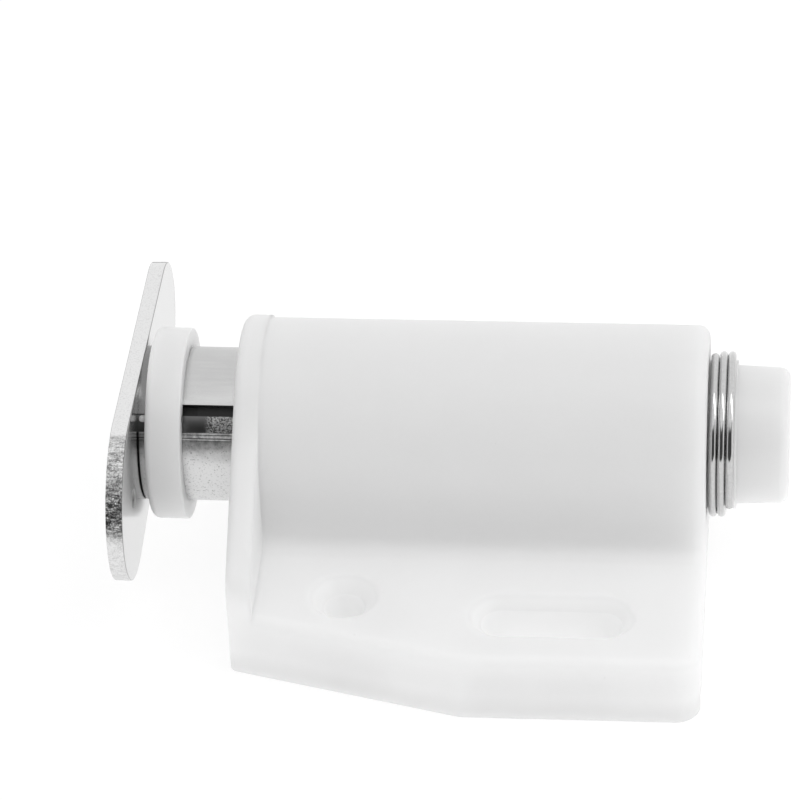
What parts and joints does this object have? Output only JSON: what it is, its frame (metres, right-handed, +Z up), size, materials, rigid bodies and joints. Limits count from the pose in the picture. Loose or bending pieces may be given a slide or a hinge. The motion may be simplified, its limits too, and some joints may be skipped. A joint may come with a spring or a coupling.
{
  "type": "touch latch",
  "caption": "Surface-mounted magnetic touch latch: pushing the door springs its plunger out; the magnetic head holds a steel strike plate.",
  "frame": {"origin": "centre of the round screw hole, on the mounting face", "axes": "+X from the plunger's head to the rear plug, along the barrel; +Y from the screw wing to the barrel; +Z up out of the mounting face"},
  "size_m": [0.0693, 0.053, 0.0258],
  "materials": {
    "white_nylon": "moulded white nylon, satin",
    "white_acetal": "moulded white acetal, satin",
    "white_acetal_collar": "moulded white acetal, satin",
    "natural_acetal": "natural moulded acetal",
    "plated_tube_steel": "bright zinc-plated sheet steel",
    "liner_steel": "dull zinc-plated sheet steel",
    "cup_steel": "plated drawn steel",
    "rivet_steel": "plain steel",
    "ferrite": "sintered ferrite, matt grey-black",
    "zinc_plated_steel": "bright zinc plate, mirror-like face",
    "spring_wire": "bright drawn spring wire",
    "spring_steel": "oiled spring steel"
  },
  "bodies": {
    "housing": {"housing": "white_nylon", "rear_plug": "white_acetal", "coil_ring": "spring_wire", "main_spring": "spring_steel", "latch_core": "natural_acetal", "core_pin": "rivet_steel", "spring_washer": "liner_steel"},
    "plunger": {"plunger_tube": "plated_tube_steel", "liner_sleeve": "liner_steel", "nose_collar": "white_acetal_collar", "pole_cup": "cup_steel", "magnet": "ferrite", "head_rivet": "rivet_steel", "head_block": "natural_acetal", "strike_plate": "zinc_plated_steel", "follower_wire": "spring_wire"}
  },
  "joints": [
    {"name": "plunger_slide", "type": "slide", "parent": "housing", "child": "plunger", "axis": [-1, 0, 0], "range_m": [-0.0025, 0.015], "deforming": ["main_spring", "follower_wire"]}
  ]
}
